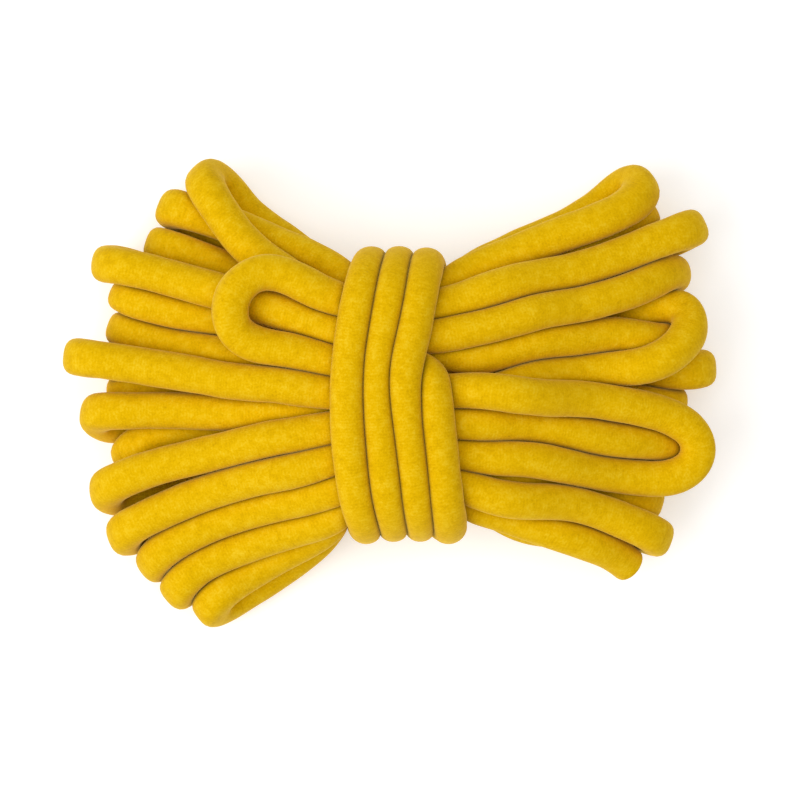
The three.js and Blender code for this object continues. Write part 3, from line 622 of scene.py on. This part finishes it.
@dataclass(frozen=True)
class KnittedVelvet:
    """Polyester velvet, warp-knitted into a tube with its short pile outwards.

    The pile stands across the light, so faces seen square on are deep and saturated and edges
    catch a pale bloom. Faint ribs run round the cord, where the knit's courses part the pile.

    Attributes:
        name: Name of the material.
        deep: Colour down between the pile tufts.
        body: Colour of the pile seen square on.
        pale: Colour of tufts that lean into the light.
        crushed_and_shaded: Colour where two runs meet: flattened pile and painted crease shade.
        sheen_tint: Colour of the bloom on the pile's tips.
        sheen: Strength of that bloom.
        sheen_roughness: How far round the cord the bloom spreads.
        roughness: Roughness of the pile; it has no gloss of its own.
        specular: Specular level, near none, because light is lost between the fibres.
        rib_pitch: Distance between knit courses, in metres. The real one is about 0.3 mm, and it
            is drawn coarser so that it shows.
        tuft: Size of one tuft, in metres. The real ones are about 0.15 mm, drawn at twice that.
        patch: Size of the patches in which the pile leans the same way, in metres.
        patch_detail: Octaves of smaller patches inside them.
        waver: How far the patches bend the courses out of line, in radians.
        rib_share: How much the courses add to the height of the tufts.
        tone_low: Sum of patch and height at which the pile is as deep as it gets.
        tone_high: Sum of patch and height at which it is as pale as it gets.
        relief: Strength of the bump.
        pile_height: Height of the bump, in metres.
    """

    name: str = "velvet_knitted_mustard"
    deep: str = "#c09400"
    body: str = "#dcae00"
    pale: str = "#e9c62c"
    crushed_and_shaded: str = "#9a7e00"
    sheen_tint: str = "#ffe088"
    sheen: float = 0.5
    sheen_roughness: float = 0.35
    roughness: float = 0.9
    specular: float = 0.04
    rib_pitch: float = 0.40 * MM
    tuft: float = 0.30 * MM
    patch: float = 1.3 * MM
    patch_detail: float = 3.0
    waver: float = 10.0
    rib_share: float = 0.1
    tone_low: float = 0.49
    tone_high: float = 1.61
    relief: float = 0.42
    pile_height: float = 0.12 * MM

    def material(self) -> bpy.types.Material:
        """Builds the node material.

        Returns:
            The material.
        """
        material = bpy.data.materials.new(self.name)
        material.use_nodes = True
        tree = material.node_tree
        tree.nodes.clear()
        place = add_node(tree, "ShaderNodeNewGeometry").outputs["Position"]
        along = add_node(tree, "ShaderNodeAttribute", attribute_name="along").outputs["Fac"]
        # Where runs press together: flattened pile, and painted shade that stands in for the shade
        # in the crease.
        crush_and_shade = add_node(tree, "ShaderNodeAttribute", attribute_name="crush_and_shade").outputs["Fac"]
        # Patches of leaning pile, then tufts.
        lean = add_node(
            tree, "ShaderNodeTexNoise",
            {"Vector": place, "Scale": 1.0 / self.patch, "Detail": self.patch_detail,
             "Roughness": 0.6},
        ).outputs["Fac"]
        tufts = add_node(
            tree, "ShaderNodeTexNoise",
            {"Vector": place, "Scale": 1.0 / self.tuft, "Detail": 2.0, "Roughness": 0.7},
        ).outputs["Fac"]
        # Courses: a wave along the cord, which the patches bend out of line.
        phase = add_node(
            tree, "ShaderNodeMath",
            {0: along, 1: 2.0 * math.pi / self.rib_pitch}, operation="MULTIPLY",
        ).outputs[0]
        uneven = add_node(
            tree, "ShaderNodeMath", {0: lean, 1: self.waver, 2: phase},
            operation="MULTIPLY_ADD",
        ).outputs[0]
        wave = add_node(tree, "ShaderNodeMath", {0: uneven}, operation="SINE").outputs[0]
        rib = add_node(
            tree, "ShaderNodeMath", {0: wave, 1: 0.5, 2: 0.5}, operation="MULTIPLY_ADD"
        ).outputs[0]
        height = add_node(
            tree, "ShaderNodeMath", {0: rib, 1: self.rib_share, 2: tufts}, operation="MULTIPLY_ADD"
        ).outputs[0]
        tone = add_node(
            tree, "ShaderNodeMath", {0: lean, 1: height}, operation="ADD"
        ).outputs[0]
        shade = add_node(
            tree, "ShaderNodeMapRange", {"Value": tone, 1: self.tone_low, 2: self.tone_high}
        )
        ramp = add_node(tree, "ShaderNodeValToRGB", {"Fac": shade.outputs[0]})
        stops = ramp.color_ramp.elements
        stops[0].color = linear(self.deep)
        stops[1].color = linear(self.pale)
        stops.new(0.5).color = linear(self.body)
        # Painted crease shade: the colour is mixed towards a darker one where runs press together.
        pile_and_shade_mix = add_node(
            tree, "ShaderNodeMix",
            {"Factor": crush_and_shade, 6: ramp.outputs["Color"], 7: linear(self.crushed_and_shaded)},
            data_type="RGBA",
        )
        bump = add_node(
            tree, "ShaderNodeBump",
            {"Height": height, "Strength": self.relief, "Distance": self.pile_height},
        )
        velvet = add_node(
            tree, "ShaderNodeBsdfPrincipled",
            {
                "Base Color": pile_and_shade_mix.outputs[2],
                "Roughness": self.roughness,
                "Specular IOR Level": self.specular,
                "Sheen Weight": self.sheen,
                "Sheen Roughness": self.sheen_roughness,
                "Sheen Tint": linear(self.sheen_tint),
                "Normal": bump.outputs["Normal"],
            },
        )
        add_node(tree, "ShaderNodeOutputMaterial", {"Surface": velvet.outputs[0]})
        return material


@dataclass(frozen=True)
class SpunFiller:
    """Soft spun polyester strand, undyed, that fills the sleeve: pale, matt and fibrous.

    Attributes:
        name: Name of the material.
        shadow: Colour down between the fibres.
        fibre: Colour of the fibres on top.
        strand: Size of a clump of fibres, in metres. A single fibre is too fine to show.
        relief: Strength of the bump.
        fibre_height: Height of the bump, in metres.
        roughness: Roughness of the fibres.
    """

    name: str = "filler_spun_polyester"
    shadow: str = "#b9a77a"
    fibre: str = "#ecdfb4"
    strand: float = 0.25 * MM
    relief: float = 0.6
    fibre_height: float = 0.1 * MM
    roughness: float = 0.85

    def material(self) -> bpy.types.Material:
        """Builds the node material.

        Returns:
            The material.
        """
        material = bpy.data.materials.new(self.name)
        material.use_nodes = True
        tree = material.node_tree
        tree.nodes.clear()
        place = add_node(tree, "ShaderNodeNewGeometry").outputs["Position"]
        fibres = add_node(
            tree, "ShaderNodeTexNoise",
            {"Vector": place, "Scale": 1.0 / self.strand, "Detail": 4.0},
        ).outputs["Fac"]
        ramp = add_node(tree, "ShaderNodeValToRGB", {"Fac": fibres})
        ramp.color_ramp.elements[0].color = linear(self.shadow)
        ramp.color_ramp.elements[1].color = linear(self.fibre)
        bump = add_node(
            tree, "ShaderNodeBump",
            {"Height": fibres, "Strength": self.relief, "Distance": self.fibre_height},
        )
        strand = add_node(
            tree, "ShaderNodeBsdfPrincipled",
            {
                "Base Color": ramp.outputs["Color"],
                "Roughness": self.roughness,
                "Normal": bump.outputs["Normal"],
            },
        )
        add_node(tree, "ShaderNodeOutputMaterial", {"Surface": strand.outputs[0]})
        return material


@dataclass
class VelvetSleeve:
    """The cord's velvet sleeve: a soft tube grown round the settled centreline.

    All lengths are in millimetres.

    Attributes:
        centreline: The settled route.
        route_step: Distance between the points of that route.
        radius: Radius where nothing presses.
        ring_step: Distance between rings.
        sides: Points round a ring.
        lump: How far the filler's unevenness moves the surface.
        lump_lengths: Lengths of the waves of that unevenness.
        bend_depth: Share of the radius kept across a tight bend, where the cord flattens.
        bend_width: Share of the radius that it spreads to on the two sides of the bend.
        bluntness: How square the flattened section is; 2 would be an ellipse.
        bend_curvatures: Curvatures at which a bend starts to flatten and is wholly flat.
        bend_blur: Rings to each side over which the curvature is averaged.
        wrinkle: Depth of the pinches on the inside of a tight bend.
        wrinkle_pitch: Distance between two pinches.
        bedding: How far the piles of two touching runs sink into each other.
        hardness: How sudden the change is from the free to the squeezed surface.
        look_out: How much further than touching a neighbour is still taken in.
        own_length: Length along the cord that doesn't count as a neighbour.
        crush_and_shade_ratios: Free to squeezed radius where flattened pile and painted crease
            shade start and where they are full.
        floor_gap: Least height of the surface.
        edge: How the cut edge turns over and leads back inside: steps outward, shares of the
            radius.
        finish: The sleeve's material.
        line: Centres of the rings, worked out from the centreline.
        tangent: Direction of the cord at each ring.
        around: Spokes from each centre to its ring points, of length 1.
        along: Place of each ring along the cord.
    """

    centreline: np.ndarray
    route_step: float = 2.0
    radius: float = 2.5
    ring_step: float = 0.5
    sides: int = 32
    lump: float = 0.03
    lump_lengths: tuple[float, ...] = (31.0, 17.0, 9.0, 5.0)
    bend_depth: float = 0.95
    bend_width: float = 1.03
    bluntness: float = 3.2
    bend_curvatures: tuple[float, float] = (0.05, 0.28)
    bend_blur: int = 9
    wrinkle: float = 0.08
    wrinkle_pitch: float = 1.5
    bedding: float = 0.06
    hardness: float = 11.0
    look_out: float = 0.8
    own_length: float = 2.0
    crush_and_shade_ratios: tuple[float, float] = (1.0, 1.13)
    floor_gap: float = 0.02
    edge: tuple[tuple[float, float], ...] = (
        (0.22, 0.98), (0.38, 0.90), (0.36, 0.78), (0.12, 0.68), (-0.7, 0.62),
    )
    finish: KnittedVelvet = field(default_factory=KnittedVelvet)
    line: np.ndarray = field(init=False)
    tangent: np.ndarray = field(init=False)
    around: np.ndarray = field(init=False)
    along: np.ndarray = field(init=False)

    def __post_init__(self) -> None:
        """Works out the rings' centres, their spokes and their place along the cord."""
        self.line = spline_through(self.centreline, round(self.route_step / self.ring_step))
        self.tangent, normal, binormal = transported_frames(self.line)
        angle = np.linspace(0.0, 2.0 * math.pi, self.sides, endpoint=False)
        self.around = (
            np.cos(angle)[None, :, None] * normal[:, None, :]
            + np.sin(angle)[None, :, None] * binormal[:, None, :]
        )
        steps = np.linalg.norm(np.diff(self.line, axis=0), axis=1)
        self.along = np.concatenate([[0.0], np.cumsum(steps)])

    @property
    def length(self) -> float:
        """Length of the cord in metres."""
        return float(self.along[-1]) * MM

    @property
    def path(self) -> np.ndarray:
        """The ring centres in metres."""
        return self.line * MM

    def lumps(self) -> np.ndarray:
        """How far the filler's unevenness moves each ring point.

        Returns:
            One distance for each ring and side.
        """
        rng = np.random.default_rng(SEED)
        side = 2 * math.pi * np.arange(self.sides) / self.sides
        moved = np.zeros(self.around.shape[:2])
        for wave_length in self.lump_lengths:
            phase = rng.uniform(0.0, 2.0 * math.pi, 2)
            turns = 2 * math.pi * self.along[:, None] / wave_length
            moved += 0.5 * np.sin(turns + phase[0])
            moved += 0.4 * np.sin(turns + side[None, :] + phase[1])
        return self.lump * moved

    def bends(self) -> tuple[np.ndarray, np.ndarray]:
        """Where the cord bends.

        Returns:
            How far each ring point faces the inside of the bend, from -1 to 1, and how tightly
            each ring is bent, from 0 to 1.
        """
        turn = np.gradient(self.tangent, axis=0) / self.ring_step
        turn = blurred(turn, self.bend_blur, 0, wrap=False)
        curvature = np.linalg.norm(turn, axis=1)
        inward = np.einsum("rsk,rk->rs", self.around, turn / np.maximum(curvature, 1e-6)[:, None])
        return inward, smoothstep(curvature, *self.bend_curvatures)[:, None]

    def free_radii(self) -> np.ndarray:
        """Radius of each ring point before neighbours press: lumps, blunt bends and pinches.

        Returns:
            One radius for each ring and side.
        """
        inward, bent = self.bends()
        sideways = np.sqrt(np.clip(1.0 - inward**2, 0.0, 1.0))
        blunt = (
            np.abs(inward / self.bend_depth) ** self.bluntness
            + (sideways / self.bend_width) ** self.bluntness
        ) ** (-1.0 / self.bluntness)
        radii = (self.radius + self.lumps()) * (1.0 + bent * (blunt - 1.0))
        pinch = 0.5 - 0.5 * np.cos(2 * math.pi * self.along / self.wrinkle_pitch)
        return radii - self.wrinkle * bent * np.clip(inward, 0.0, 1.0) * pinch[:, None] ** 2

    def room(self) -> np.ndarray:
        """How far each ring point may reach before it meets a neighbour's half of the space.

        Returns:
            One distance for each ring and side.
        """
        limit = np.full(self.around.shape[:2], FAR)
        others = np.arange(0, len(self.line), 2)
        spots = self.line[others]
        reach = 2.0 * self.radius + self.look_out
        for low in range(0, len(self.line), RINGS_AT_ONCE):
            rows = np.arange(low, min(low + RINGS_AT_ONCE, len(self.line)))
            gap = spots[None, :, :] - self.line[rows][:, None, :]
            distance = np.linalg.norm(gap, axis=2)
            apart = np.abs(self.along[others][None, :] - self.along[rows][:, None])
            row, spot = np.nonzero((distance < reach) & (apart > self.own_length))
            if not len(row):
                continue
            away = gap[row, spot]
            far = distance[row, spot]
            facing = np.einsum("psk,pk->ps", self.around[rows[row]], away / far[:, None])
            allowed = reach_to_plane(0.5 * far[:, None], facing)
            starts = np.concatenate([[0], np.nonzero(np.diff(row))[0] + 1])
            limit[rows[row[starts]]] = np.minimum.reduceat(allowed, starts, axis=0)
        return np.minimum(limit, reach_to_plane(self.line[:, 2:3], -self.around[:, :, 2]))

    def surface(self) -> tuple[np.ndarray, np.ndarray]:
        """The ring points and, for each, its share of flattened pile and painted crease shade.

        Returns:
            Points in millimetres, ring by ring, and that share for each, from 0 to 1.
        """
        free = self.free_radii()
        room = self.room() + self.bedding
        radii = free * room / (free**self.hardness + room**self.hardness) ** (1 / self.hardness)
        radii = blurred(radii, 2, 0, wrap=False)
        radii = blurred(radii, 1, 1, wrap=True)
        # Painted crease shade, with flattened pile: the more a point is squeezed by a neighbour,
        # the darker its colour.
        crush_and_shade = smoothstep(free / radii, *self.crush_and_shade_ratios)
        points = self.line[:, None, :] + radii[:, :, None] * self.around
        points[:, :, 2] = np.maximum(points[:, :, 2], self.floor_gap)
        return points, crush_and_shade

    def end_rings(self, points: np.ndarray, start: bool) -> np.ndarray:
        """Rings that round the cut edge of the sleeve over and lead back inside it.

        Args:
            points: All ring points.
            start: Whether this is the start of the cord.

        Returns:
            The extra rings, outermost first.
        """
        ring = 0 if start else len(points) - 1
        centre = self.line[ring]
        outward = self.tangent[ring] * (-1.0 if start else 1.0)
        rings = [
            centre + outward * shift + (points[ring] - centre) * scale
            for shift, scale in self.edge
        ]
        return np.array(rings)

    def build(self) -> bpy.types.Object:
        """Makes the sleeve's mesh object, with its material and attributes.

        Returns:
            The cord.
        """
        points, crush_and_shade = self.surface()
        first = self.end_rings(points, start=True)[::-1]
        last = self.end_rings(points, start=False)
        rings = np.concatenate([first, points, last])
        extra = len(first)
        along = np.concatenate([[0.0] * extra, self.along, [self.along[-1]] * extra])
        crush_and_shade = np.concatenate([[crush_and_shade[0]] * extra, crush_and_shade, [crush_and_shade[-1]] * extra])
        count, sides = rings.shape[:2]
        index = np.arange(count * sides).reshape(count, sides)
        here, there = index[:-1], index[1:]
        quads = np.stack(
            [here, np.roll(here, -1, 1), np.roll(there, -1, 1), there], axis=2
        ).reshape(-1, 4)
        caps = [tuple(index[0][::-1]), tuple(index[-1])]
        mesh = bpy.data.meshes.new("velvet_sleeve")
        mesh.from_pydata((rings.reshape(-1, 3) * MM).tolist(), [], quads.tolist() + caps)
        mesh.shade_smooth()
        # The second attribute carries the painted crease shade to the material.
        for name, values in (
            ("along", np.repeat(along * MM, sides)),
            ("crush_and_shade", crush_and_shade.reshape(-1)),
        ):
            layer = mesh.attributes.new(name, "FLOAT", "POINT")
            layer.data.foreach_set("value", values.astype(np.float32))
        mesh.materials.append(self.finish.material())
        sleeve = bpy.data.objects.new("velvet_cord", mesh)
        bpy.context.scene.collection.objects.link(sleeve)
        return sleeve


@dataclass
class FillerEnd:
    """The filler strand where it shows in a cut end of the sleeve.

    Attributes:
        name: The piece's name.
        centre: Centre of the cut end, in millimetres.
        outward: Direction out of the cut end.
        radius: The strand's radius, in millimetres.
        depth: How far it is built into the sleeve.
        stand: How far its fibres stand out of the cut.
        ragged: How far a fibre's end may differ from that.
        sides: Points round the strand.
        finish: The strand's material.
    """

    name: str
    centre: np.ndarray
    outward: np.ndarray
    radius: float = 1.45
    depth: float = 1.6
    stand: float = 0.18
    ragged: float = 0.09
    sides: int = 28
    finish: SpunFiller = field(default_factory=SpunFiller)

    def build(self) -> bpy.types.Object:
        """Makes the strand's mesh object: a short plug with a tufted end.

        Returns:
            The strand.
        """
        rng = np.random.default_rng(SEED + len(self.name))
        side = np.cross(self.outward, [0.0, 0.0, 1.0])
        side /= np.linalg.norm(side)
        up = np.cross(side, self.outward)
        profile = [(-self.depth, 1.0), (-0.4, 1.0), (0.0, 0.96), (self.stand, 0.82)]
        profile += [(self.stand * 1.25, scale) for scale in (0.62, 0.42, 0.2)]
        points: list[np.ndarray] = []
        for shift, scale in profile:
            for k in range(self.sides):
                angle = 2 * math.pi * k / self.sides
                spoke = math.cos(angle) * side + math.sin(angle) * up
                torn = rng.uniform(-self.ragged, self.ragged) if shift > 0 else 0.0
                points.append(
                    self.centre
                    + self.outward * (shift + torn)
                    + spoke * self.radius * scale * (1.0 + rng.uniform(-0.04, 0.04))
                )
        faces = []
        for ring in range(len(profile) - 1):
            for k in range(self.sides):
                a = ring * self.sides + k
                b = ring * self.sides + (k + 1) % self.sides
                faces.append((a, b, b + self.sides, a + self.sides))
        faces.append(tuple(range(self.sides))[::-1])
        top = (len(profile) - 1) * self.sides
        faces.append(tuple(range(top, top + self.sides)))
        mesh = bpy.data.meshes.new(self.name)
        mesh.from_pydata([tuple(p * MM) for p in points], [], faces)
        mesh.shade_smooth()
        mesh.materials.append(self.finish.material())
        plug = bpy.data.objects.new(self.name, mesh)
        bpy.context.scene.collection.objects.link(plug)
        return plug


@dataclass(frozen=True)
class SoftBox:
    """A square lamp that faces the hank.

    Attributes:
        name: The lamp's name.
        place: Where it stands, in metres.
        size: Length of its side, in metres.
        power: Its power in watts.
    """

    name: str
    place: tuple[float, float, float]
    size: float
    power: float

    def build(self) -> bpy.types.Object:
        """Makes the lamp and turns it to the hank.

        Returns:
            The lamp.
        """
        data = bpy.data.lights.new(self.name, "AREA")
        data.size = self.size
        data.energy = self.power
        lamp = bpy.data.objects.new(self.name, data)
        lamp.location = self.place
        lamp.rotation_euler = (-Vector(self.place)).to_track_quat("-Z", "Y").to_euler()
        bpy.context.scene.collection.objects.link(lamp)
        return lamp


@dataclass
class Studio:
    """Pale floor, soft light and a camera that looks straight down.

    Attributes:
        view_width: Width of the view at the height of the upper folds.
        focus_height: That height.
        view_centre: Point of the floor under the middle of the view.
        distance: From the camera to that height.
        sensor: Width of the camera's sensor, in its own millimetres.
        floor_half: Half the side of the floor sheet.
        floor_colour: Colour of the sheet.
        floor_glow: Light that the sheet gives by itself, so that shadows on it stay faint.
        surround: Strength of the white surround.
        lamps: A broad key from the left and a fill from above.
    """

    view_width: float = 108.0 * MM
    focus_height: float = 14.0 * MM
    view_centre: tuple[float, float] = (1.28 * MM, -0.95 * MM)
    distance: float = 0.62
    sensor: float = 36.0
    floor_half: float = 3.0
    floor_colour: str = "#dedede"
    floor_glow: float = 0.4
    surround: float = 0.385
    lamps: tuple[SoftBox, ...] = (
        SoftBox("softbox_left", (-0.68, -0.25, 0.8), 0.9, 7.6),
        SoftBox("softbox_top", (0.08, 0.15, 1.1), 0.9, 5.2),
    )

    def camera(self) -> bpy.types.Object:
        """Places the camera over the hank.

        Returns:
            The camera.
        """
        data = bpy.data.cameras.new("camera_top")
        data.sensor_width = self.sensor
        data.lens = self.sensor * self.distance / self.view_width
        data.clip_start = 0.01
        camera = bpy.data.objects.new("camera_top", data)
        x, y = self.view_centre
        camera.location = (x, y, self.focus_height + self.distance)
        bpy.context.scene.collection.objects.link(camera)
        bpy.context.scene.camera = camera
        return camera

    def floor(self) -> bpy.types.Object:
        """A wide, matt, nearly white sheet under the hank.

        Returns:
            The sheet.
        """
        half = self.floor_half
        mesh = bpy.data.meshes.new("studio_floor")
        corners = [(-half, -half, 0), (half, -half, 0), (half, half, 0), (-half, half, 0)]
        mesh.from_pydata(corners, [], [(0, 1, 2, 3)])
        material = bpy.data.materials.new("paper_backdrop_white")
        material.use_nodes = True
        shader = material.node_tree.nodes["Principled BSDF"]
        shader.inputs["Base Color"].default_value = linear(self.floor_colour)
        shader.inputs["Roughness"].default_value = 0.9
        shader.inputs["Emission Color"].default_value = (1.0, 1.0, 1.0, 1.0)
        shader.inputs["Emission Strength"].default_value = self.floor_glow
        mesh.materials.append(material)
        floor = bpy.data.objects.new("studio_floor", mesh)
        bpy.context.scene.collection.objects.link(floor)
        return floor

    def light(self) -> None:
        """Sets up the lamps and the white surround."""
        for lamp in self.lamps:
            lamp.build()
        world = bpy.data.worlds.new("studio_surround")
        world.use_nodes = True
        background = world.node_tree.nodes["Background"]
        background.inputs["Color"].default_value = (1.0, 1.0, 1.0, 1.0)
        background.inputs["Strength"].default_value = self.surround
        bpy.context.scene.world = world
        bpy.context.scene.view_settings.view_transform = "Standard"


@dataclass
class CordHank:
    """The whole hank: the velvet sleeve and the filler in its two cut ends.

    Attributes:
        route: The route that the cord takes.
    """

    route: CordRoute = field(default_factory=CordRoute)

    def build(self) -> list[bpy.types.Object]:
        """Returns:
            The pieces, the cord first.
        """
        sleeve = VelvetSleeve(self.route.settle(), self.route.step)
        cord = sleeve.build()
        ends = [
            FillerEnd("filler_start", sleeve.line[0], -sleeve.tangent[0]).build(),
            FillerEnd("filler_end", sleeve.line[-1], sleeve.tangent[-1]).build(),
        ]
        for piece, node in zip(ends, ("start_filler", "end_filler")):
            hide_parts(node)
        for piece in (cord, *ends):
            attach(piece, "root")
        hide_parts(*[name for name, *_ in ROUTE])
        log.info("the cord is %.3f m long", sleeve.length)
        return [cord, *ends]


def main() -> None:
    """Builds the studio and the hank."""
    logging.basicConfig(level=logging.INFO, format="%(name)s: %(message)s")
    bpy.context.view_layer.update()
    studio = Studio()
    studio.camera()
    for piece in CordHank().build():
        log.info("built %s with %d faces", piece.name, len(piece.data.polygons))
    studio.floor()
    studio.light()


if __name__ == "__main__":
    main()
